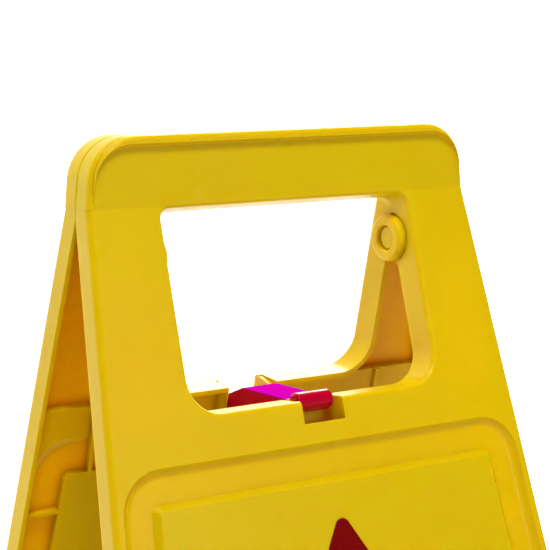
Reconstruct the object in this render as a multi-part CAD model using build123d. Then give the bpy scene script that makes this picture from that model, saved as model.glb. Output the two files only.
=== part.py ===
from build123d import *

import os
from math import cos, radians, sin, tan

# A folding wet floor sign, standing open on the floor. Millimetres.
# X runs across the sign, Y from front to back, Z up. The origin is on the floor, midway between the
# panels. The front panel faces -Y. The back panel is the same moulding turned half a turn about Z.
#
# Each panel has an upright top band and, below the bend, a leaning face. "Slope" is the distance down
# the leaning face from the bend, and "depth" the distance behind its outer surface.

# --- driving dimensions: panel ---------------------------------------------------------------------
LEAN = 15.4                 # degrees, lean of each panel's face when the sign stands open
BAND_HEIGHT = 32.0          # height of the upright top band
SLOPE_LENGTH = 588.0        # length of the leaning face, from the bend to the floor
BAND_DEPTH = 11.7           # from the band's outer face to the plane where the panels meet
FLANGE_DEPTH = 12.4         # depth of the flange round the leaning part
FREE_EDGE_ROUND = 1.2       # rounding of the flange's free edge, outside
SKIN = 2.8                  # thickness of the face
WALL = 2.6                  # thickness of flanges
HALF_WIDTH_TOP = 103.5
HALF_WIDTH_BEND = 106.5
HALF_WIDTH_FOOT = 152.0
TOP_CORNER_RADIUS = 22.0
EDGE_ROUND = 3.0            # rounding of the leaning face's long edges
BAND_EDGE_ROUND = 2.4       # rounding of the top band's outer edge
BEAD_WIDTH = 4.6            # raised bead along the top of the band
BEAD_SIDE_WIDTH = 3.4       # its width at the top of the sides; it runs out to nothing at the bend
BEAD_HEIGHT = 2.4
BEAD_ROUND = 2.0            # rounding of its outer edge
BEAD_SLOPE = 1.0            # width of its sloping inner side
BEAD_FOOT_ROUND = 1.0       # hollow rounding where it meets the band

# --- driving dimensions: hand opening ---------------------------------------------------------------
OPENING_TOP = 1.1           # slope of the opening's top edge
OPENING_BOTTOM = 96.0       # slope of its bottom edge
OPENING_HALF_WIDTH = 69.8
OPENING_TOP_RADIUS = 5.5
OPENING_BOTTOM_RADIUS = 16.5
OPENING_ROUND = 2.2         # rounding of the opening's edge on the face
OPENING_FLANGE_DEPTH = 16.0  # depth of the flange round the opening
OPENING_DRAFT = 2.6         # the bottom edge is this much higher at the flange's free edge

# --- driving dimensions: recess and plate for the sign ----------------------------------------------
RECESS_TOP = 116.0
RECESS_BOTTOM = 470.0
RECESS_MARGIN = 5.0         # from the panel's side edge to the recess
RECESS_RADIUS = 21.0
RECESS_DEPTH = 3.2
RECESS_FOOT_ROUND = 5.0     # hollow rounding at the foot of the recess's sloping edge
PLATE_BORDER = 15.6         # width of the recessed band round the raised plate
PLATE_RADIUS = 3.4
PLATE_DROP = 0.3            # the plate's surface lies this far below the face
RECESS_BEVEL = 2.0          # width of the recess's sloping edge
PLATE_BEVEL = 3.1           # width of the plate's sloping edge
COLLAR_TOP = 98.0           # inside, the face is thicker from this slope down to the recess
COLLAR_DEPTH = 7.2          # depth the collar round the recess reaches
COLLAR_SLOPE = 2.5          # width of its sloping edge towards the recess
SHELF = 1.8                 # thickness of the shelf inside, round the back of the plate
SHELF_WIDTH = 40.0

# --- driving dimensions: feet and ribs --------------------------------------------------------------
ARCH_HALF_WIDTH = 96.0      # half width of the gap between the two feet, at the floor
ARCH_TOP_HALF_WIDTH = 74.0
ARCH_HEIGHT = 62.0
ARCH_RADIUS = 24.0
RIB = 2.2
RIB_DEPTH = 9.0             # how deep the inner ribs and the shelf reach behind the outer face
NECK_RIB_X = 83.0           # upright ribs beside the lock, below the opening
CROSS_RIB_SLOPES = (151.0, 231.0, 311.0, 391.0)

# --- driving dimensions: hinge ----------------------------------------------------------------------
HINGE_DROP = 24.7           # hinge axis below the bend
EYE_RADIUS = 11.8
EYE_INNER_X = 65.6          # the eye's face towards the middle of the opening
EYE_THICKNESS = 8.3
EYE_RIM_ROUND = 2.0
EYE_BORE_ROUND = 1.0
PIN_RADIUS = 6.17
PIN_CLEARANCE = 0.08        # radial running clearance of the pin in the eye
PIN_RECESS = 1.7            # the pin ends this far inside the eye's face
PIN_CHAMFER = 1.0
SPIGOT_RADIUS = 4.0         # pressed into the cheek
RIVET_HEAD_RADIUS = 5.5
RIVET_HEAD_THICKNESS = 1.5
CHEEK_GAP = 0.4             # side gap between the eye and the cheek
CHEEK_THICKNESS = 3.0
CHEEK_RADIUS = 14.2
CHEEK_BLEND = 2.0           # the opening's flange is kept this far round the cheek
EYE_POCKET_GAP = 0.7        # radial gap round the eye where it passes the other panel's flange

# --- driving dimensions: lock -----------------------------------------------------------------------
NOTCH_HALF_WIDTH = 11.6
NOTCH_DEPTH = 10.5          # down the slope from the opening's bottom edge
CATCH_TOP = 100.5           # slope of the top of the catch wall behind the notch
CATCH_THICKNESS = 2.2
ARM_HALF_WIDTH = 10.0
HOOK_RADIUS = 4.6
HOOK_SLOPE = 95.8
HOOK_GAP = 0.35             # between the hook and the catch wall
HOOK_END_ROUND = 1.4
TONGUE_GAP = 0.8            # height of the tongue above the catch wall
SHOULDER_GAP = 2.1          # between the catch wall and the arm's shoulder
SHOULDER_HEIGHT = 3.0       # overlap of the shoulder with the catch wall
ARM_TOP_DROP = 94.0         # arm's flat top below the bend
ARM_WEB_DEPTH = 14.4        # height of the arm's side webs
ARM_TOP_THICKNESS = 3.2
ARM_WEB = 2.6
ARM_CREST_Y = 15.4          # the flat top ends here
ARM_TAIL_DROP = 7.0         # the top falls by this to the tail
PIVOT_SLOPE = 106.5
PIVOT_DEPTH = 8.2
PIVOT_RADIUS = 1.6
PIVOT_CLEARANCE = 0.05
PIVOT_EMBED = 1.6           # how far the pin reaches into each ear
TAIL_RADIUS = 4.2
EAR_DEPTH = 12.7            # depth the ears reach
EAR_SLOPE_BELOW = 7.0       # the ears reach this far below the pivot

# --- driving dimensions: warning triangle -------------------------------------------------------------
LABEL_APEX_SLOPE = 147.8
LABEL_SIDE = 184.0
LABEL_BAND = 14.0
LABEL_RADIUS = 4.0
LABEL_INNER_RADIUS = 2.0
LABEL_THICKNESS = 0.35

# --- worked out ---------------------------------------------------------------------------------------
SIN = sin(radians(LEAN))
COS = cos(radians(LEAN))
BEND_Z = SLOPE_LENGTH * COS
TOP_Z = BEND_Z + BAND_HEIGHT
HINGE_Z = BEND_Z - HINGE_DROP
WIDTH_PER_SLOPE = (HALF_WIDTH_FOOT - HALF_WIDTH_BEND) / SLOPE_LENGTH
CHEEK_INNER_X = EYE_INNER_X + EYE_THICKNESS + CHEEK_GAP
CHEEK_OUTER_X = CHEEK_INNER_X + CHEEK_THICKNESS
CATCH_FRONT_DEPTH = OPENING_FLANGE_DEPTH - CATCH_THICKNESS
HOOK_DEPTH = CATCH_FRONT_DEPTH - HOOK_GAP - HOOK_RADIUS
FAR = 400.0                 # reach of cutting and clipping blocks
CLEAR = 1.0                 # an edge this far above the bend belongs to the top band
HIDDEN_RADIUS = 1.0         # corner radius of outlines whose corners lie outside the panel

# The leaning face: local x is X, local y points up the slope, local z outwards.
FACE = Plane(origin=(0, -BAND_DEPTH, BEND_Z), x_dir=(1, 0, 0), z_dir=(0, -COS, SIN))


def front_point(slope, depth):
    """Y and Z of a place on the front panel, given its slope and depth."""
    y = -BAND_DEPTH - slope * SIN + depth * COS
    z = BEND_Z - slope * COS - depth * SIN
    return y, z


def back_point(slope, depth):
    """Y and Z of a place on the back panel."""
    y, z = front_point(slope, depth)
    return -y, z


def half_width(slope):
    """Half width of the panel at a place down the slope."""
    return HALF_WIDTH_BEND + WIDTH_PER_SLOPE * slope


def rounded(points, radii):
    """A flat face with the given corners, each rounded to its own radius."""
    face = make_face(Polyline(*points, close=True))
    for point, radius in zip(points, radii):
        corner = face.vertices().sort_by_distance((point[0], point[1], 0))[0]
        face = fillet(corner, radius)
    return face


def trapezoid(top, bottom, margin, radius):
    """An outline that follows the panel's tapered sides, in the leaning face's own axes."""
    upper = half_width(top) - margin
    lower = half_width(bottom) - margin
    points = [(-upper, -top), (upper, -top), (lower, -bottom), (-lower, -bottom)]
    return rounded(points, [radius] * 4)


def slab(outline, depth_from, depth_to):
    """A flat block behind the leaning face, between two depths."""
    placed = FACE.offset(-depth_from) * outline
    return extrude(placed, amount=-(depth_to - depth_from))


def across(profile_yz, half_length):
    """A side profile drawn in Y and Z, extruded both ways along X."""
    return extrude(Plane.YZ * profile_yz, amount=half_length, both=True)


def disc_x(radius, x_from, x_to, y, z):
    """A cylinder along X."""
    centre = Location(((x_from + x_to) / 2, y, z), (0, 90, 0))
    return centre * Cylinder(radius, abs(x_to - x_from))


def panel_outline(inset):
    """The panel seen from the front, in X and Z, drawn in by an inset on its sides and top."""
    points = [
        (-HALF_WIDTH_TOP + inset, TOP_Z - inset),
        (HALF_WIDTH_TOP - inset, TOP_Z - inset),
        (HALF_WIDTH_BEND - inset, BEND_Z),
        (HALF_WIDTH_FOOT - inset, 0),
        (-HALF_WIDTH_FOOT + inset, 0),
        (-HALF_WIDTH_BEND + inset, BEND_Z),
    ]
    face = make_face(Polyline(*points, close=True))
    top_corners = face.vertices().sort_by(Axis.Y)[-2:]
    return fillet(top_corners, TOP_CORNER_RADIUS - inset)


def along_y(outline_xz, y_from, y_to):
    """An outline drawn in X and Z, extruded along Y."""
    placed = Plane(origin=(0, y_from, 0), x_dir=(1, 0, 0), z_dir=(0, -1, 0)) * outline_xz
    return extrude(placed, amount=-(y_to - y_from))


def envelope_profile(depth):
    """Side profile of the panel's outer form, the leaning part having the given depth."""
    meeting_slope = (depth * COS - BAND_DEPTH) / SIN
    foot_slope = SLOPE_LENGTH - depth * tan(radians(LEAN))
    points = [
        (-BAND_DEPTH, TOP_Z),
        (-BAND_DEPTH, BEND_Z),
        front_point(SLOPE_LENGTH, 0),
        front_point(foot_slope, depth),
        front_point(meeting_slope, depth),
        (0, TOP_Z),
    ]
    return make_face(Polyline(*points, close=True))


def cavity_profile():
    """Side profile of the hollow behind the face, open towards the other panel."""
    bend_drop = SKIN * tan(radians(LEAN / 2))
    foot_slope = SLOPE_LENGTH - (SKIN * SIN + WALL) / COS
    foot_y, foot_z = front_point(foot_slope, SKIN)
    points = [
        (-BAND_DEPTH + SKIN, TOP_Z - WALL),
        (-BAND_DEPTH + SKIN, BEND_Z - bend_drop),
        (foot_y, foot_z),
        (FAR, foot_z),
        (FAR, TOP_Z - WALL),
    ]
    return make_face(Polyline(*points, close=True))


def envelope(depth):
    """Everything between the panel's outer surface and the given depth behind its leaning face."""
    return across(envelope_profile(depth), FAR / 2) & along_y(panel_outline(0), -FAR, FAR)


def outer_form():
    """The panel's outer form, with its long edges rounded."""
    form = envelope(FLANGE_DEPTH)
    above = 2 * BAND_HEIGHT
    below = SLOPE_LENGTH + 2 * FLANGE_DEPTH
    points = [
        (-half_width(-above), above),
        (half_width(-above), above),
        (half_width(below), -below),
        (-half_width(below), -below),
    ]
    leaning = slab(make_face(Polyline(*points, close=True)), 0, FLANGE_DEPTH)
    outer_face = leaning.faces().sort_by_distance(FACE.origin)[0]
    leaning = fillet(outer_face.edges().sort_by(Edge.length)[-2:], EDGE_ROUND)
    band = form & above_bend()
    rim = band.faces().sort_by(Axis.Y)[0].edges()
    band = fillet(rim.filter_by(lambda e: e.center().Z > BEND_Z + CLEAR), BAND_EDGE_ROUND)
    form = band + (leaning & form)
    meeting = form.faces().filter_by(Axis.Y).sort_by(Axis.Y)[-1]
    top_edges = meeting.edges().filter_by(lambda e: e.center().Z > BEND_Z)
    return fillet(top_edges, FREE_EDGE_ROUND)


def above_bend():
    """A block that holds everything above the bend."""
    return Pos(0, 0, BEND_Z + FAR / 2) * Box(FAR, FAR, FAR)


def bead_outline():
    """The bead's outer line, in X and Z, drawing in from the panel's edge towards the bend."""
    half_bend = HALF_WIDTH_BEND - EDGE_ROUND
    points = [
        (-HALF_WIDTH_TOP, TOP_Z),
        (HALF_WIDTH_TOP, TOP_Z),
        (half_bend, BEND_Z),
        (-half_bend, BEND_Z),
    ]
    face = make_face(Polyline(*points, close=True))
    return fillet(face.vertices().sort_by(Axis.Y)[-2:], TOP_CORNER_RADIUS)


def bead_inner_outline(grow):
    """The foot of the bead, in X and Z, grown towards the panel's edge."""
    top = TOP_Z - BEAD_WIDTH + grow
    half_top = HALF_WIDTH_TOP - BEAD_SIDE_WIDTH + grow
    half_bend = HALF_WIDTH_BEND - EDGE_ROUND + BEAD_FOOT_ROUND + grow
    below = BEND_Z - BAND_HEIGHT
    half_below = half_bend + (half_bend - half_top)
    points = [(-half_top, top), (half_top, top), (half_below, below), (-half_below, below)]
    radius = TOP_CORNER_RADIUS - BEAD_WIDTH + grow
    return rounded(points, [radius] * 4)


def bead():
    """Raised bead along the top edge and round the corners, running out down the sides."""
    crest = -BAND_DEPTH - BEAD_HEIGHT
    block = along_y(bead_outline(), crest, -BAND_DEPTH + EDGE_ROUND)
    rim = block.faces().sort_by(Axis.Y)[0].edges()
    block = fillet(rim.filter_by(lambda e: e.center().Z > BEND_Z + CLEAR), BEAD_ROUND)
    foot = Plane(origin=(0, -BAND_DEPTH, 0), x_dir=(1, 0, 0), z_dir=(0, -1, 0))
    pocket = loft([foot * bead_inner_outline(0), foot.offset(BEAD_HEIGHT) * bead_inner_outline(BEAD_SLOPE)])
    pocket = fillet(pocket.faces().sort_by(Axis.Y)[-1].edges(), BEAD_FOOT_ROUND)
    return block - pocket


def opening_outline(rise):
    """The hand opening, in the leaning face's own axes, with its bottom edge raised."""
    w = OPENING_HALF_WIDTH
    bottom = -OPENING_BOTTOM + rise
    points = [(-w, -OPENING_TOP), (w, -OPENING_TOP), (w, bottom), (-w, bottom)]
    radii = [OPENING_TOP_RADIUS, OPENING_TOP_RADIUS, OPENING_BOTTOM_RADIUS, OPENING_BOTTOM_RADIUS]
    return rounded(points, radii)


def opening_block(grow):
    """The hand opening right through the panel, its bottom edge rising towards the inside."""
    before = OPENING_FLANGE_DEPTH
    behind = 2 * OPENING_FLANGE_DEPTH
    ends = []
    for depth in (-before, behind):
        rise = OPENING_DRAFT * depth / OPENING_FLANGE_DEPTH
        outline = opening_outline(rise)
        if grow:
            outline = offset(outline, grow)
        ends.append(FACE.offset(-depth) * outline)
    return loft(ends)


def notch_outline(grow):
    """The notch in the opening's bottom edge, where the lock arm's hook drops in."""
    top = -OPENING_BOTTOM + WALL
    bottom = -OPENING_BOTTOM - NOTCH_DEPTH - grow
    middle = (top + bottom) / 2
    return Pos(0, middle) * Rectangle(2 * (NOTCH_HALF_WIDTH + grow), top - bottom)


def arch_outline(grow):
    """The gap between the two feet."""
    floor = -SLOPE_LENGTH - FLANGE_DEPTH
    top = -SLOPE_LENGTH + ARCH_HEIGHT + grow
    points = [
        (-ARCH_TOP_HALF_WIDTH - grow, top),
        (ARCH_TOP_HALF_WIDTH + grow, top),
        (ARCH_HALF_WIDTH + grow, floor),
        (-ARCH_HALF_WIDTH - grow, floor),
    ]
    face = make_face(Polyline(*points, close=True))
    corners = face.vertices().sort_by(Axis.Y)[-2:]
    return fillet(corners, ARCH_RADIUS + grow)


def recess_cut():
    """The sloping-edged channel round the sign plate, and the plate's slight drop."""
    outer_top = trapezoid(RECESS_TOP, RECESS_BOTTOM, RECESS_MARGIN, RECESS_RADIUS)
    outer_floor = trapezoid(RECESS_TOP + RECESS_BEVEL, RECESS_BOTTOM - RECESS_BEVEL,
                            RECESS_MARGIN + RECESS_BEVEL, RECESS_RADIUS - RECESS_BEVEL)
    plate_top = RECESS_TOP + PLATE_BORDER
    plate_bottom = RECESS_BOTTOM - PLATE_BORDER
    margin = RECESS_MARGIN + PLATE_BORDER
    plate_face = trapezoid(plate_top + PLATE_BEVEL, plate_bottom - PLATE_BEVEL,
                           margin + PLATE_BEVEL, PLATE_RADIUS / 2)
    plate_foot = trapezoid(plate_top, plate_bottom, margin, PLATE_RADIUS)
    channel = loft([FACE * outer_top, FACE.offset(-RECESS_DEPTH) * outer_floor])
    channel_floor = channel.faces().sort_by(SortBy.AREA)[-2:].sort_by(Axis.Y)[-1]
    channel = fillet(channel_floor.edges(), RECESS_FOOT_ROUND)
    plate = loft([FACE.offset(-PLATE_DROP) * plate_face, FACE.offset(-RECESS_DEPTH) * plate_foot])
    return channel - plate


def inner_relief():
    """Behind the sign field: a collar round the recess, the recess's back and a shelf round the plate."""
    plate_top = RECESS_TOP + PLATE_BORDER
    plate_bottom = RECESS_BOTTOM - PLATE_BORDER
    plate_margin = RECESS_MARGIN + PLATE_BORDER
    recess_back = RECESS_DEPTH + SKIN
    plate_back = PLATE_DROP + SKIN

    collar = trapezoid(COLLAR_TOP, RECESS_BOTTOM + RECESS_TOP - COLLAR_TOP, WALL / 2, HIDDEN_RADIUS)
    relief = slab(collar, SKIN / 2, COLLAR_DEPTH)
    dip = trapezoid(RECESS_TOP, RECESS_BOTTOM, RECESS_MARGIN, RECESS_RADIUS)
    wide_dip = trapezoid(RECESS_TOP - COLLAR_SLOPE, RECESS_BOTTOM + COLLAR_SLOPE,
                         RECESS_MARGIN - COLLAR_SLOPE, RECESS_RADIUS)
    relief -= loft([FACE.offset(-recess_back) * dip, FACE.offset(-COLLAR_DEPTH) * wide_dip])

    relief += slab(trapezoid(plate_top, plate_bottom, plate_margin, PLATE_RADIUS), SKIN / 2, RIB_DEPTH)
    hollow = trapezoid(plate_top + WALL, plate_bottom - WALL, plate_margin + WALL, PLATE_RADIUS / 2)
    relief -= slab(hollow, plate_back, RIB_DEPTH - SHELF)
    window = trapezoid(plate_top + SHELF_WIDTH, plate_bottom - SHELF_WIDTH,
                       plate_margin + SHELF_WIDTH, RECESS_RADIUS)
    return relief - slab(window, plate_back, 2 * RIB_DEPTH)


def ribs():
    """Stiffening ribs behind the face."""
    neck_height = RECESS_TOP + PLATE_BORDER - COLLAR_TOP
    solids = []
    for side in (-1, 1):
        centre = (side * NECK_RIB_X, -(COLLAR_TOP + neck_height / 2))
        solids.append(slab(Pos(*centre) * Rectangle(RIB, neck_height), SKIN / 2, RIB_DEPTH))
        for slope in CROSS_RIB_SLOPES:
            outer = half_width(slope) - WALL / 2
            length = RECESS_MARGIN + PLATE_BORDER
            place = Pos(side * (outer - length / 2), -slope)
            solids.append(slab(place * Rectangle(length, RIB), SKIN / 2, RIB_DEPTH))
    return solids


def hinge_eye():
    """The ring that the other panel's pin turns in, on the panel's own left."""
    outer_x = -EYE_INNER_X - EYE_THICKNESS
    ring = disc_x(EYE_RADIUS, outer_x, -EYE_INNER_X, 0, HINGE_Z)
    ring = fillet(ring.edges().sort_by(Axis.X)[-1], EYE_RIM_ROUND)
    ring -= disc_x(PIN_RADIUS + PIN_CLEARANCE, outer_x, -EYE_INNER_X, 0, HINGE_Z)
    bore_edge = ring.faces().sort_by(Axis.X)[-1].edges().sort_by(Edge.length)[0]
    return fillet(bore_edge, EYE_BORE_ROUND)


def lock_ears(panel):
    """Cut the catch away behind the notch and add two ears that hold the lock arm's pin."""
    pivot_y, pivot_z = front_point(PIVOT_SLOPE, PIVOT_DEPTH)
    top = OPENING_BOTTOM - OPENING_DRAFT
    reach = PIVOT_SLOPE + EAR_SLOPE_BELOW
    middle = -(top + reach) / 2
    ears_width = 2 * (NOTCH_HALF_WIDTH + WALL)
    panel -= slab(Pos(0, middle) * Rectangle(ears_width, reach - top), SKIN,
                  OPENING_FLANGE_DEPTH + SKIN)
    for side in (-1, 1):
        centre = (side * (NOTCH_HALF_WIDTH + WALL / 2), -(OPENING_BOTTOM + reach) / 2)
        plate = Pos(*centre) * Rectangle(WALL, reach - OPENING_BOTTOM)
        panel += slab(plate, SKIN / 2, EAR_DEPTH)
    hole_end = NOTCH_HALF_WIDTH + PIVOT_EMBED
    return panel - disc_x(PIVOT_RADIUS, -hole_end, hole_end, pivot_y, pivot_z)


def panel(carries_lock):
    """One moulded panel, in the front panel's place."""
    body = outer_form() + bead()
    body -= across(cavity_profile(), FAR / 2) & along_y(panel_outline(WALL), -FAR, FAR)

    flange = opening_block(WALL) & slab(trapezoid(-BAND_HEIGHT, RECESS_TOP, 0, HIDDEN_RADIUS), SKIN / 2,
                                        OPENING_FLANGE_DEPTH)
    flange += slab(notch_outline(WALL), SKIN / 2, OPENING_FLANGE_DEPTH)
    flange += slab(arch_outline(WALL), SKIN / 2, FLANGE_DEPTH)
    flange += disc_x(CHEEK_RADIUS + CHEEK_BLEND, OPENING_HALF_WIDTH, CHEEK_OUTER_X, 0, HINGE_Z)
    for rib in ribs():
        flange += rib
    body += (flange + inner_relief()) & envelope(OPENING_FLANGE_DEPTH)

    body -= slab(arch_outline(0), -FLANGE_DEPTH, 2 * FLANGE_DEPTH)
    body -= opening_block(0)
    rim = [e for e in body.edges() if is_opening_rim(e)]
    body = fillet(rim, OPENING_ROUND)
    body -= recess_cut()

    body -= slab(notch_outline(0), -FLANGE_DEPTH, CATCH_FRONT_DEPTH)
    above_catch = (CATCH_TOP + OPENING_BOTTOM - WALL) / 2
    gap = Pos(0, -above_catch) * Rectangle(2 * NOTCH_HALF_WIDTH, CATCH_TOP - OPENING_BOTTOM + WALL)
    body -= slab(gap, 0, 2 * OPENING_FLANGE_DEPTH)

    body += hinge_eye()
    eye_x = EYE_INNER_X + EYE_THICKNESS
    body -= disc_x(PIN_RADIUS + PIN_CLEARANCE, -eye_x, -EYE_INNER_X - EYE_BORE_ROUND, 0, HINGE_Z)
    body += disc_x(CHEEK_RADIUS, CHEEK_INNER_X, CHEEK_OUTER_X, 0, HINGE_Z)
    pocket = EYE_RADIUS + EYE_POCKET_GAP
    body -= disc_x(pocket, EYE_INNER_X - CHEEK_THICKNESS, CHEEK_INNER_X, 0, HINGE_Z)
    body -= disc_x(SPIGOT_RADIUS, CHEEK_INNER_X, CHEEK_OUTER_X, 0, HINGE_Z)
    if carries_lock:
        body = lock_ears(body)
    return body.solid()


def is_opening_rim(edge):
    """Whether an edge lies on the outer face along the hand opening."""
    local = FACE.to_local_coords(edge.center())
    inside_x = abs(local.X) < OPENING_HALF_WIDTH + 0.1
    inside_y = -OPENING_BOTTOM - 0.1 < local.Y < -OPENING_TOP + 0.1
    return abs(local.Z) < 0.01 and inside_x and inside_y


def hinge_pin():
    """A pin pressed into the right-hand cheek, in the front panel's place."""
    end_x = EYE_INNER_X + PIN_RECESS
    barrel = disc_x(PIN_RADIUS, end_x, CHEEK_INNER_X, 0, HINGE_Z)
    barrel = chamfer(barrel.edges().sort_by(Axis.X)[0], PIN_CHAMFER)
    spigot = disc_x(SPIGOT_RADIUS, CHEEK_INNER_X, CHEEK_OUTER_X, 0, HINGE_Z)
    head = disc_x(RIVET_HEAD_RADIUS, CHEEK_OUTER_X, CHEEK_OUTER_X + RIVET_HEAD_THICKNESS, 0, HINGE_Z)
    return (barrel + spigot + head).solid()


def arm_profile():
    """Side profile of the lock arm between its hook and its tail."""
    top_z = BEND_Z - ARM_TOP_DROP
    bottom_z = top_z - ARM_WEB_DEPTH
    hook_y, _ = front_point(HOOK_SLOPE, HOOK_DEPTH)
    catch_y, catch_z = front_point(CATCH_TOP, OPENING_FLANGE_DEPTH)
    tongue_z = front_point(CATCH_TOP, CATCH_FRONT_DEPTH)[1] + TONGUE_GAP
    shoulder_y = catch_y + SHOULDER_GAP
    shoulder_z = catch_z - SHOULDER_HEIGHT
    pivot_y, pivot_z = back_point(PIVOT_SLOPE, PIVOT_DEPTH)
    points = [
        (hook_y, top_z),
        (ARM_CREST_Y, top_z),
        (pivot_y + TAIL_RADIUS / 2, top_z - ARM_TAIL_DROP),
        (pivot_y + TAIL_RADIUS, pivot_z),
        (pivot_y + TAIL_RADIUS / 2, bottom_z),
        (shoulder_y + SHOULDER_HEIGHT, bottom_z),
        (shoulder_y, shoulder_z),
        (shoulder_y, tongue_z),
        (hook_y, tongue_z),
    ]
    return make_face(Polyline(*points, close=True))


def lock_arm():
    """The red arm: a hook across its front end, a flat top and two side webs."""
    body = across(arm_profile(), ARM_HALF_WIDTH)
    hook_y, hook_z = front_point(HOOK_SLOPE, HOOK_DEPTH)
    hook = disc_x(HOOK_RADIUS, -ARM_HALF_WIDTH, ARM_HALF_WIDTH, hook_y, hook_z)
    hook = fillet(hook.edges().filter_by(GeomType.CIRCLE), HOOK_END_ROUND)
    body += hook
    top_z = BEND_Z - ARM_TOP_DROP
    shoulder_y = front_point(CATCH_TOP, OPENING_FLANGE_DEPTH)[0] + SHOULDER_GAP
    pivot_y, pivot_z = back_point(PIVOT_SLOPE, PIVOT_DEPTH)
    hollow_from = shoulder_y + ARM_WEB
    hollow_to = pivot_y - TAIL_RADIUS
    hollow_height = ARM_WEB_DEPTH
    hollow = Box(2 * (ARM_HALF_WIDTH - ARM_WEB), hollow_to - hollow_from, hollow_height)
    hollow_z = top_z - ARM_TOP_THICKNESS - hollow_height / 2
    body -= Pos(0, (hollow_from + hollow_to) / 2, hollow_z) * hollow
    hole = PIVOT_RADIUS + PIVOT_CLEARANCE
    body -= disc_x(hole, -ARM_HALF_WIDTH, ARM_HALF_WIDTH, pivot_y, pivot_z)
    return body.solid()


def lock_pivot_pin():
    """The pin through the arm's tail, let into both ears."""
    pivot_y, pivot_z = back_point(PIVOT_SLOPE, PIVOT_DEPTH)
    end = NOTCH_HALF_WIDTH + PIVOT_EMBED
    return disc_x(PIVOT_RADIUS, -end, end, pivot_y, pivot_z)


def label():
    """The warning triangle on the front panel's plate: a plain rounded triangular frame."""
    def triangle(inset, radius):
        drop = 2 * inset
        side = LABEL_SIDE - 2 * inset * tan(radians(60))
        height = side * sin(radians(60))
        apex = -(LABEL_APEX_SLOPE + drop)
        points = [(0, apex), (side / 2, apex - height), (-side / 2, apex - height)]
        return rounded(points, [radius] * 3)

    frame = triangle(0, LABEL_RADIUS) - triangle(LABEL_BAND, LABEL_INNER_RADIUS)
    return slab(frame, PLATE_DROP - LABEL_THICKNESS, PLATE_DROP).solid()


def turned(solid):
    """The same piece on the back panel: half a turn about Z."""
    return Rot(0, 0, 180) * solid


def main():
    """Build every piece and write one STEP file for each."""
    os.makedirs("parts", exist_ok=True)
    pieces = {
        "front_panel": panel(carries_lock=False),
        "back_panel": turned(panel(carries_lock=True)),
        "hinge_pin_right": hinge_pin(),
        "hinge_pin_left": turned(hinge_pin()),
        "lock_arm": lock_arm(),
        "lock_pivot_pin": lock_pivot_pin(),
        "front_label": label(),
        "back_label": turned(label()),
    }
    for name, solid in pieces.items():
        export_step(solid, f"parts/{name}.step")
        size = solid.bounding_box().size
        print(f"{name:16s} {solid.volume / 1000:9.2f} cm3  {size.X:.1f} x {size.Y:.1f} x {size.Z:.1f}")


if __name__ == "__main__":
    main()
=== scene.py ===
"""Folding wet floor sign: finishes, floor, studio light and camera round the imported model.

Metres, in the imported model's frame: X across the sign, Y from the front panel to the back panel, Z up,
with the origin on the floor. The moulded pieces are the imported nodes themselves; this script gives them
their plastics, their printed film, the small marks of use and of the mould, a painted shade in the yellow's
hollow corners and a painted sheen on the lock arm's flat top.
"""

import logging
import math
from dataclasses import dataclass
from enum import Enum

import bpy
from mathutils import Matrix, Vector

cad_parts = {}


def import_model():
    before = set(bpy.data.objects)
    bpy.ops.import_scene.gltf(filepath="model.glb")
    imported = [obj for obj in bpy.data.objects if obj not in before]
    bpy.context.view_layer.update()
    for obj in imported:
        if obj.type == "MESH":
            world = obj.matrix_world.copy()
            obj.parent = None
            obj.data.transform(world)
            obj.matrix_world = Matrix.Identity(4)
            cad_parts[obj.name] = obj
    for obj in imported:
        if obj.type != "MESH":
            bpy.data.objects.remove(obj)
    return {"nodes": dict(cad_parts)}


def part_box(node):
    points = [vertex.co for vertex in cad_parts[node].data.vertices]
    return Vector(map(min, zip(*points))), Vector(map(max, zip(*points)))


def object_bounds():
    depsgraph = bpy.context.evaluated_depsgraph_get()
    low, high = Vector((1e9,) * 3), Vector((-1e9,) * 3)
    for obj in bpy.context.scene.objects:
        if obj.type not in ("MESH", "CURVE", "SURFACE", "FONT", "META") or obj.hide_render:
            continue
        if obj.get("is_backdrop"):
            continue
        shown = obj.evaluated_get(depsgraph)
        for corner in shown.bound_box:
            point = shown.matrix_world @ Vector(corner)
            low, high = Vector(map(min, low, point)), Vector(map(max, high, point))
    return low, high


LOG = logging.getLogger("floor_sign")

Colour = tuple[float, float, float]
Socket = bpy.types.NodeSocket


class Sum(Enum):
    """The sums that the finishes do on two values."""

    PLUS = "ADD"
    TIMES = "MULTIPLY"


@dataclass(frozen=True)
class Grain:
    """A cloudy pattern on a piece.

    Attributes:
        scale: cells per metre.
        detail: octaves of finer pattern.
        stretch: scale along X, Y and Z before the pattern is read.
        turn: rotation before the pattern is read, in radians.
        roughness: weight of the finer octaves.
    """

    scale: float
    detail: float = 3.0
    stretch: Colour = (1.0, 1.0, 1.0)
    turn: Colour = (0.0, 0.0, 0.0)
    roughness: float = 0.5


@dataclass(frozen=True)
class Ramp:
    """Carries one range of values onto another, clamped at both ends.

    Attributes:
        low: the value that becomes start.
        high: the value that becomes end.
        start: the result at low.
        end: the result at high.
    """

    low: float
    high: float
    start: float = 0.0
    end: float = 1.0


@dataclass(frozen=True)
class Relief:
    """How deep a pattern is pressed into a surface.

    Attributes:
        distance: the height of the pattern, in metres.
        strength: how much of it shows.
    """

    distance: float
    strength: float


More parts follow.
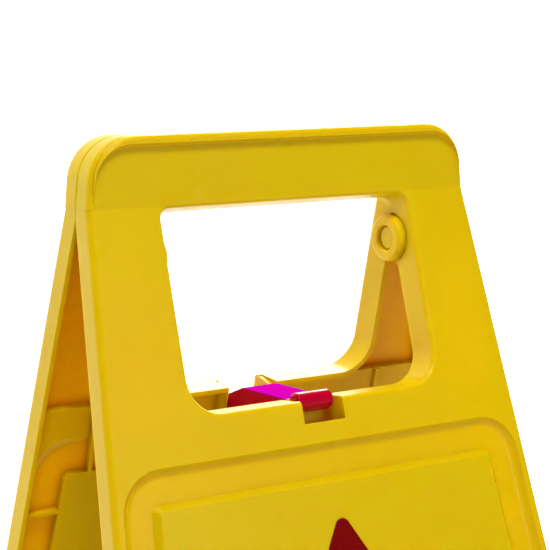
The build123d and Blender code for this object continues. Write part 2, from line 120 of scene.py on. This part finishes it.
@dataclass
class Graph:
    """A material's node tree, with short ways of adding nodes to it.

    Attributes:
        material: the material that the nodes belong to.
    """

    material: bpy.types.Material

    @classmethod
    def new(cls, name: str) -> "Graph":
        """Start an empty node material.

        Args:
            name: the material's name.

        Returns:
            A graph with no nodes yet.
        """
        material = bpy.data.materials.new(name)
        material.use_nodes = True
        material.node_tree.nodes.clear()
        return cls(material)

    def add(self, kind: str, **settings: object) -> bpy.types.Node:
        """Add a node.

        Args:
            kind: Blender's name for the node type.
            **settings: properties set on the node.

        Returns:
            The new node.
        """
        node = self.material.node_tree.nodes.new(kind)
        for name, value in settings.items():
            setattr(node, name, value)
        return node

    def link(self, source: Socket, target: Socket) -> None:
        """Join an output socket to an input socket."""
        self.material.node_tree.links.new(source, target)

    def feed(self, value: "float | Colour | Socket", target: Socket) -> None:
        """Give an input socket its value, or join it to the output that the value comes from."""
        if isinstance(value, bpy.types.NodeSocket):
            self.link(value, target)
        elif isinstance(value, tuple) and target.type == "RGBA":
            target.default_value = (*value, 1.0)
        else:
            target.default_value = value

    def place(self, stretch: Colour = (1.0, 1.0, 1.0), turn: Colour = (0.0, 0.0, 0.0)) -> Socket:
        """Object coordinates, stretched and turned.

        Args:
            stretch: scale along X, Y and Z.
            turn: rotation about X, Y and Z, in radians.

        Returns:
            The vector socket.
        """
        coordinates = self.add("ShaderNodeTexCoord")
        mapping = self.add("ShaderNodeMapping")
        self.feed(stretch, mapping.inputs["Scale"])
        self.feed(turn, mapping.inputs["Rotation"])
        self.link(coordinates.outputs["Object"], mapping.inputs["Vector"])
        return mapping.outputs["Vector"]

    def along(self, axis: str) -> Socket:
        """The place along X, Y or Z, in metres."""
        split = self.add("ShaderNodeSeparateXYZ")
        self.link(self.place(), split.inputs["Vector"])
        return split.outputs[axis]

    def noise(self, grain: Grain) -> Socket:
        """A cloudy pattern, about 0.5 on average."""
        texture = self.add("ShaderNodeTexNoise")
        self.feed(grain.scale, texture.inputs["Scale"])
        self.feed(grain.detail, texture.inputs["Detail"])
        self.feed(grain.roughness, texture.inputs["Roughness"])
        self.link(self.place(grain.stretch, grain.turn), texture.inputs["Vector"])
        return texture.outputs["Fac"]

    def closed_in(self, reach: float) -> Socket:
        """How open the surface is, from 0 deep in a corner to 1 in the open.

        Args:
            reach: how far away a wall still counts, in metres.

        Returns:
            The openness socket.
        """
        hollow = self.add("ShaderNodeAmbientOcclusion", samples=8, only_local=True)
        self.feed(reach, hollow.inputs["Distance"])
        return hollow.outputs["AO"]

    def remap(self, source: Socket, ramp: Ramp) -> Socket:
        """Carry a value through a ramp."""
        node = self.add("ShaderNodeMapRange", clamp=True)
        self.feed(ramp.low, node.inputs["From Min"])
        self.feed(ramp.high, node.inputs["From Max"])
        self.feed(ramp.start, node.inputs["To Min"])
        self.feed(ramp.end, node.inputs["To Max"])
        self.link(source, node.inputs["Value"])
        return node.outputs["Result"]

    def mix(self, factor: Socket, first: "Colour | Socket", second: "Colour | Socket") -> Socket:
        """Blend two colours, each a plain colour or a socket.

        Args:
            factor: 0 for the first, 1 for the second.
            first: the colour at 0.
            second: the colour at 1.

        Returns:
            The blended colour's socket.
        """
        node = self.add("ShaderNodeMix", data_type="RGBA")
        self.link(factor, node.inputs["Factor"])
        colour_inputs = [socket for socket in node.inputs if socket.type == "RGBA"]
        for socket, colour in zip(colour_inputs, (first, second)):
            self.feed(colour, socket)
        return next(socket for socket in node.outputs if socket.type == "RGBA")

    def combine(self, how: Sum, first: Socket, second: "float | Socket") -> Socket:
        """A sum on two values, the second a number or a socket."""
        node = self.add("ShaderNodeMath", operation=how.value)
        self.link(first, node.inputs[0])
        self.feed(second, node.inputs[1])
        return node.outputs[0]

    def bump(self, height: Socket, relief: Relief, below: "Socket | None" = None) -> Socket:
        """Turn a height pattern into a bent normal.

        Args:
            height: the height, from 0 to 1.
            relief: how deep it is pressed in.
            below: a normal that this one is laid over.

        Returns:
            The normal's socket.
        """
        node = self.add("ShaderNodeBump")
        self.feed(relief.distance, node.inputs["Distance"])
        self.feed(relief.strength, node.inputs["Strength"])
        self.link(height, node.inputs["Height"])
        if below is not None:
            self.link(below, node.inputs["Normal"])
        return node.outputs["Normal"]

    def surface(self, colour: Socket, roughness: Socket, normal: Socket,
                **others: "float | Colour | Socket") -> bpy.types.Material:
        """Close the material with a shader.

        Args:
            colour: base colour.
            roughness: roughness.
            normal: bent normal.
            **others: the shader's other sockets, spaces in their names written as underscores.

        Returns:
            The finished material.
        """
        shader = self.add("ShaderNodeBsdfPrincipled")
        self.link(colour, shader.inputs["Base Color"])
        self.link(roughness, shader.inputs["Roughness"])
        self.link(normal, shader.inputs["Normal"])
        for name, value in others.items():
            self.feed(value, shader.inputs[name.replace("_", " ")])
        output = self.add("ShaderNodeOutputMaterial")
        self.link(shader.outputs["BSDF"], output.inputs["Surface"])
        return self.material


@dataclass(frozen=True)
class MouldedYellow:
    """Satin injection-moulded plastic, with clouding, faint scuffs, a mould's fine grain and painted shade in
    hollow corners.

    Attributes:
        name: the material's name.
        body: the plastic's colour.
        deep: the colour where the pigment lies thicker.
        worn: the colour of a scuff.
        painted_shade: the colour of the shade painted into the hollow corners.
        reach: how far out of a hollow corner the painted shade comes, in metres.
        clouds: where the pigment lies thicker.
        cloud_share: share of the deep colour in the clouds.
        streaks: the long thin scuffs.
        streak_share: share of the worn colour in the streaks.
        painted_shade_share: share of the painted shade, falling as the surface opens out.
        gloss_clouds: how the gloss wanders.
        gloss: the roughness that it wanders between.
        streak_roughness: roughness that a full streak adds.
        sinks: the sink marks.
        sink_relief: their depth.
        pebbles: the mould's grain.
        pebble_relief: its depth.
        glow_depth: how far light spreads inside the plastic, in metres.
        glow_colour: how far each colour spreads, as a share of that.
    """

    name: str = "satin_yellow_moulding"
    body: Colour = (0.735, 0.505, 0.0)
    deep: Colour = (0.700, 0.462, 0.0)
    worn: Colour = (0.80, 0.58, 0.03)
    painted_shade: Colour = (0.50, 0.24, 0.0)
    reach: float = 0.005
    clouds: Grain = Grain(9.0, detail=4.0)
    cloud_share: Ramp = Ramp(0.35, 0.68)
    streaks: Grain = Grain(60.0, detail=6.0, stretch=(1.0, 0.25, 0.25), turn=(0.0, 0.6, 0.2), roughness=0.7)
    streak_share: Ramp = Ramp(0.66, 0.78, 0.0, 0.5)
    painted_shade_share: Ramp = Ramp(0.55, 0.95, 0.6, 0.0)
    gloss_clouds: Grain = Grain(35.0, detail=5.0)
    gloss: Ramp = Ramp(0.3, 0.7, 0.24, 0.36)
    streak_roughness: float = 0.25
    sinks: Grain = Grain(14.0, detail=1.0)
    sink_relief: Relief = Relief(0.0012, 0.35)
    pebbles: Grain = Grain(1500.0, detail=2.0)
    pebble_relief: Relief = Relief(0.00006, 0.5)
    glow_depth: float = 0.008
    glow_colour: Colour = (1.0, 0.42, 0.02)

    def make(self) -> bpy.types.Material:
        """Build the material.

        The colour is the body blended to the deep colour by broad clouds, to the worn colour in long
        thin streaks, and to a painted shade where the surface is closed in. The roughness follows a
        middle-sized cloud, and rises in the streaks. The bump is a fine pebble grain over a broad
        sink-mark ripple.

        Returns:
            The material.
        """
        g = Graph.new(self.name)
        plastic = g.mix(g.remap(g.noise(self.clouds), self.cloud_share), self.body, self.deep)
        scuff = g.remap(g.noise(self.streaks), self.streak_share)
        scuffed = g.mix(scuff, plastic, self.worn)
        # Painted shade: the colour is darkened towards the shade colour where ambient occlusion finds the
        # surface closed in.
        painted_shade_mask = g.remap(g.closed_in(self.reach), self.painted_shade_share)
        colour = g.mix(painted_shade_mask, scuffed, self.painted_shade)
        smooth = g.remap(g.noise(self.gloss_clouds), self.gloss)
        roughness = g.combine(Sum.PLUS, smooth, g.combine(Sum.TIMES, scuff, self.streak_roughness))
        ripple = g.bump(g.noise(self.sinks), self.sink_relief)
        normal = g.bump(g.noise(self.pebbles), self.pebble_relief, below=ripple)
        return g.surface(colour, roughness, normal, IOR=1.46, Specular_IOR_Level=0.12,
                         Subsurface_Weight=0.4, Subsurface_Scale=self.glow_depth,
                         Subsurface_Radius=self.glow_colour)


@dataclass(frozen=True)
class GlossRed:
    """Gloss red moulded plastic, with a painted pink sheen on the arm's flat top.

    Attributes:
        top_z: height of the flat top, in metres.
        hook_y: the flat top starts behind this, in metres.
        name: the material's name.
        body: the plastic's colour.
        deep: the colour in its clouds.
        painted_sheen: the pink painted on the flat top to stand for the reflection it shows.
        sheen_from: the painted sheen starts this far below the flat top, in metres.
        sheen_full: it is full from this far below the flat top up.
        hook_blend: half the length of the change behind the hook.
        clouds: the red's clouds.
        cloud_share: share of the deep colour in them.
        gloss_clouds: how the gloss wanders.
        gloss: the roughness that it wanders between.
        skin: the moulding's fine unevenness.
        skin_relief: its depth.
        shine: the shader's specular level, less under the painted sheen on the flat top.
    """

    top_z: float
    hook_y: float
    name: str = "gloss_red_moulding"
    body: Colour = (0.50, 0.0, 0.02)
    deep: Colour = (0.42, 0.0, 0.014)
    painted_sheen: Colour = (0.47, 0.001, 0.33)
    sheen_from: float = 0.0004
    sheen_full: float = 0.0001
    hook_blend: float = 0.001
    clouds: Grain = Grain(90.0)
    cloud_share: Ramp = Ramp(0.35, 0.65)
    gloss_clouds: Grain = Grain(160.0, detail=4.0)
    gloss: Ramp = Ramp(0.3, 0.7, 0.12, 0.24)
    skin: Grain = Grain(900.0, detail=2.0)
    skin_relief: Relief = Relief(0.00005, 0.4)
    shine: Ramp = Ramp(0.0, 1.0, 0.12, 0.0)

    def make(self) -> bpy.types.Material:
        """Build the material.

        The painted pink sheen is full in the last tenth of a millimetre below the flat top and gone a
        little lower, and lies only behind the hook. Clouds darken the rest.

        Returns:
            The material.
        """
        g = Graph.new(self.name)
        # Painted sheen: the flat top behind the hook is tinted pink to stand for the reflection on that face,
        # and its specular level is turned down there.
        at_top = g.remap(g.along("Z"), Ramp(self.top_z - self.sheen_from, self.top_z - self.sheen_full))
        behind = g.remap(g.along("Y"), Ramp(self.hook_y - self.hook_blend, self.hook_y + self.hook_blend))
        sheen_mask = g.combine(Sum.TIMES, at_top, behind)
        red = g.mix(g.remap(g.noise(self.clouds), self.cloud_share), self.body, self.deep)
        colour = g.mix(sheen_mask, red, self.painted_sheen)
        roughness = g.remap(g.noise(self.gloss_clouds), self.gloss)
        normal = g.bump(g.noise(self.skin), self.skin_relief)
        return g.surface(colour, roughness, normal, IOR=1.5, Specular_IOR_Level=g.remap(sheen_mask, self.shine))


@dataclass(frozen=True)
class PrintedFilm:
    """Printed film: a dense dark red ink with a faint screen grain.

    Attributes:
        name: the material's name.
        ink: the ink's colour.
        thin: the colour where the ink lies thinner.
        screen: where it lies thinner.
        thin_share: share of the thin colour there.
        gloss_clouds: how the gloss wanders.
        gloss: the roughness that it wanders between.
        peel: the film's orange peel.
        peel_relief: its depth.
    """

    name: str = "printed_red_film"
    ink: Colour = (0.175, 0.0002, 0.0002)
    thin: Colour = (0.215, 0.001, 0.001)
    screen: Grain = Grain(700.0)
    thin_share: Ramp = Ramp(0.4, 0.7)
    gloss_clouds: Grain = Grain(120.0)
    gloss: Ramp = Ramp(0.3, 0.7, 0.34, 0.48)
    peel: Grain = Grain(400.0, detail=2.0)
    peel_relief: Relief = Relief(0.00005, 0.4)

    def make(self) -> bpy.types.Material:
        """Build the material: ink thinned by a fine grain, on a slightly orange-peeled film."""
        g = Graph.new(self.name)
        colour = g.mix(g.remap(g.noise(self.screen), self.thin_share), self.ink, self.thin)
        roughness = g.remap(g.noise(self.gloss_clouds), self.gloss)
        normal = g.bump(g.noise(self.peel), self.peel_relief)
        return g.surface(colour, roughness, normal, IOR=1.5, Specular_IOR_Level=0.04)


@dataclass(frozen=True)
class PlainSteel:
    """The lock arm's steel pin: drawn wire with fine lines along it.

    Attributes:
        name: the material's name.
        bright: the colour of the clean metal.
        dull: the colour where it has dulled.
        tarnish: where it has dulled.
        dull_share: share of the dull colour there.
        gloss_clouds: how the gloss wanders.
        gloss: the roughness that it wanders between.
        lines: the drawing lines along X.
        line_relief: their depth.
    """

    name: str = "drawn_steel"
    bright: Colour = (0.62, 0.61, 0.59)
    dull: Colour = (0.40, 0.39, 0.37)
    tarnish: Grain = Grain(220.0)
    dull_share: Ramp = Ramp(0.4, 0.65)
    gloss_clouds: Grain = Grain(300.0, detail=4.0)
    gloss: Ramp = Ramp(0.3, 0.7, 0.22, 0.4)
    lines: Grain = Grain(2500.0, stretch=(0.05, 1.0, 1.0))
    line_relief: Relief = Relief(0.00003, 0.4)

    def make(self) -> bpy.types.Material:
        """Build the material: dulled clouds and long fine lines along X."""
        g = Graph.new(self.name)
        colour = g.mix(g.remap(g.noise(self.tarnish), self.dull_share), self.bright, self.dull)
        roughness = g.remap(g.noise(self.gloss_clouds), self.gloss)
        normal = g.bump(g.noise(self.lines), self.line_relief)
        return g.surface(colour, roughness, normal, Metallic=1.0)


@dataclass
class Mouldings:
    """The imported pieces, each with its finish.

    Attributes:
        nodes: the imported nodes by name.
        hook_rise: the lock arm's hook stands this far above its flat top, in metres.
        hook_length: the hook takes up this much of the arm's length, in metres.
    """

    nodes: dict[str, bpy.types.Object]
    hook_rise: float = 0.00398
    hook_length: float = 0.0112

    def arm_red(self) -> bpy.types.Material:
        """The lock arm's red, with its painted sheen fitted to where the flat top lies."""
        lowest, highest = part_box("lock_arm")
        finish = GlossRed(top_z=highest.z - self.hook_rise, hook_y=lowest.y + self.hook_length)
        return finish.make()

    def dress(self) -> None:
        """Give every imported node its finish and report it."""
        yellow = MouldedYellow().make()
        finishes = {
            "front_panel": yellow,
            "back_panel": yellow,
            "hinge_pin_right": yellow,
            "hinge_pin_left": yellow,
            "lock_arm": self.arm_red(),
            "lock_pivot_pin": PlainSteel().make(),
            "front_label": PrintedFilm().make(),
            "back_label": PrintedFilm(name="printed_red_film_back").make(),
        }
        for name, material in finishes.items():
            mesh = self.nodes[name].data
            mesh.materials.clear()
            mesh.materials.append(material)
            LOG.info("%s: %s, %d faces", name, material.name, len(mesh.polygons))


@dataclass(frozen=True)
class SoftLight:
    """A rectangular soft light.

    Attributes:
        name: the light's name.
        place: where it hangs.
        size: its width and height.
        power: its power, in watts.
    """

    name: str
    place: Colour
    size: tuple[float, float]
    power: float

    def hang(self, aim: Colour) -> None:
        """Hang the light, facing a point."""
        light = bpy.data.lights.new(self.name, "AREA")
        light.shape = "RECTANGLE"
        light.size, light.size_y = self.size
        light.energy = self.power
        piece = bpy.data.objects.new(self.name, light)
        piece.location = self.place
        piece.rotation_euler = (Vector(aim) - Vector(self.place)).to_track_quat("-Z", "Y").to_euler()
        bpy.context.scene.collection.objects.link(piece)


@dataclass
class Studio:
    """A pale floor that brightens towards a white backdrop, with soft lights.

    Attributes:
        floor_size: side of the square floor, in metres.
        floor_glow: strength of the floor's own light.
        backdrop_glow: strength of the backdrop's own light.
        glow_rises: the floor's light rises to the backdrop's between these places along Y.
        backdrop_distance: how far the backdrop stands behind the sign.
        backdrop_height: its height.
        ambient: strength of the light from all round.
        paint: the two greys that the floor and backdrop wander between.
        paint_clouds: how they wander.
        matt: their roughness.
        aim: the point that every light faces.
        lights: the soft lights.
    """

    floor_size: float = 12.0
    floor_glow: float = 0.1
    backdrop_glow: float = 1.1
    glow_rises: tuple[float, float] = (0.4, 0.9)
    backdrop_distance: float = 3.0
    backdrop_height: float = 6.0
    ambient: float = 0.08
    paint: tuple[Colour, Colour] = ((0.62, 0.62, 0.62), (0.66, 0.66, 0.66))
    paint_clouds: Grain = Grain(2.0)
    matt: float = 0.9
    aim: Colour = (0.0, 0.0, 0.4)
    lights: tuple[SoftLight, ...] = (
        SoftLight("key_softbox", (-0.5, -1.3, 3.0), (0.6, 0.6), 62.0),
        SoftLight("front_fill", (0.9, -2.8, 1.1), (1.0, 1.0), 17.0),
        SoftLight("left_fill", (-2.6, -0.6, 0.6), (0.8, 1.2), 2.5),
        SoftLight("left_back_strip", (-2.0, 1.7, 0.9), (0.6, 2.4), 7.0),
        SoftLight("top_softbox", (0.2, 0.6, 2.6), (2.0, 2.0), 15.0),
        SoftLight("back_right_softbox", (1.65, 1.92, 1.96), (1.2, 1.2), 54.0),
    )

    def pale(self, name: str, glow: float) -> bpy.types.Material:
        """A pale matt surface that also glows a little, more so towards the backdrop.

        Args:
            name: the material's name.
            glow: strength of its own light in front of the sign.

        Returns:
            The material.
        """
        g = Graph.new(name)
        shader = g.add("ShaderNodeBsdfPrincipled")
        g.link(g.mix(g.noise(self.paint_clouds), *self.paint), shader.inputs["Base Color"])
        g.feed(self.matt, shader.inputs["Roughness"])
        g.feed((1.0, 1.0, 1.0), shader.inputs["Emission Color"])
        strength = g.remap(g.along("Y"), Ramp(*self.glow_rises, glow, self.backdrop_glow))
        g.link(strength, shader.inputs["Emission Strength"])
        output = g.add("ShaderNodeOutputMaterial")
        g.link(shader.outputs["BSDF"], output.inputs["Surface"])
        return g.material

    def sheet(self, name: str, outline: list[Colour], material: bpy.types.Material) -> None:
        """Lay out a flat four-cornered sheet that belongs to the studio."""
        mesh = bpy.data.meshes.new(name)
        mesh.from_pydata(outline, [], [(0, 1, 2, 3)])
        mesh.materials.append(material)
        piece = bpy.data.objects.new(name, mesh)
        bpy.context.scene.collection.objects.link(piece)
        piece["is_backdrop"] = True

    def room(self) -> None:
        """Fill the room with an even white light."""
        world = bpy.data.worlds.new("soft_room")
        world.use_nodes = True
        background = world.node_tree.nodes["Background"]
        background.inputs["Color"].default_value = (1.0, 1.0, 1.0, 1.0)
        background.inputs["Strength"].default_value = self.ambient
        bpy.context.scene.world = world

    def build(self) -> None:
        """Lay the floor, hang the backdrop and set the lights."""
        h = self.floor_size / 2
        d = self.backdrop_distance
        floor = [(-h, -h, 0.0), (h, -h, 0.0), (h, h, 0.0), (-h, h, 0.0)]
        self.sheet("studio_floor", floor, self.pale("pale_floor", self.floor_glow))
        wall = [(-h, d, 0.0), (h, d, 0.0), (h, d, self.backdrop_height), (-h, d, self.backdrop_height)]
        self.sheet("studio_backdrop", wall, self.pale("white_backdrop", self.backdrop_glow))
        self.room()
        for light in self.lights:
            light.hang(self.aim)
        bpy.context.scene.view_settings.view_transform = "Standard"
        LOG.info("studio: floor, backdrop, %d soft lights", len(self.lights))


@dataclass
class Viewpoint:
    """The camera, front left of the sign and a little above its top edge.

    Attributes:
        left: distance to the left of the sign's middle, in metres.
        front: distance in front of the plane where the panels meet.
        above_top: height over the sign's top.
        turn: degrees turned from straight ahead towards +X.
        dip: degrees below level.
        roll: degrees of roll.
        lens: focal length, in millimetres.
        sensor: width of the sensor, in millimetres.
    """

    left: float = 0.46778
    front: float = 0.69767
    above_top: float = 0.03372
    turn: float = 33.82
    dip: float = 7.04
    roll: float = -0.79
    lens: float = 115.615
    sensor: float = 36.0

    def build(self, top: float) -> None:
        """Make the camera.

        Args:
            top: height of the sign, in metres.
        """
        data = bpy.data.cameras.new("front_left")
        data.sensor_width = self.sensor
        data.lens = self.lens
        camera = bpy.data.objects.new("front_left", data)
        yaw, pitch = math.radians(self.turn), math.radians(self.dip)
        ahead = Vector((math.sin(yaw) * math.cos(pitch), math.cos(yaw) * math.cos(pitch), -math.sin(pitch)))
        level = Vector((math.cos(yaw), -math.sin(yaw), 0.0))
        upright = level.cross(ahead)
        roll = math.radians(self.roll)
        right = math.cos(roll) * level + math.sin(roll) * upright
        up = right.cross(ahead)
        camera.matrix_world = Matrix((
            (right.x, up.x, -ahead.x, -self.left),
            (right.y, up.y, -ahead.y, -self.front),
            (right.z, up.z, -ahead.z, top + self.above_top),
            (0.0, 0.0, 0.0, 1.0),
        ))
        bpy.context.scene.collection.objects.link(camera)
        bpy.context.scene.camera = camera
        LOG.info("camera: %.0f mm lens", self.lens)


def main() -> None:
    """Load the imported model, dress it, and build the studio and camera."""
    logging.basicConfig(level=logging.INFO, format="%(name)s %(message)s")
    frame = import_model()
    cad_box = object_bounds()
    Mouldings(frame["nodes"]).dress()
    Studio().build()
    Viewpoint().build(top=cad_box[1].z)


if __name__ == "__main__":
    main()
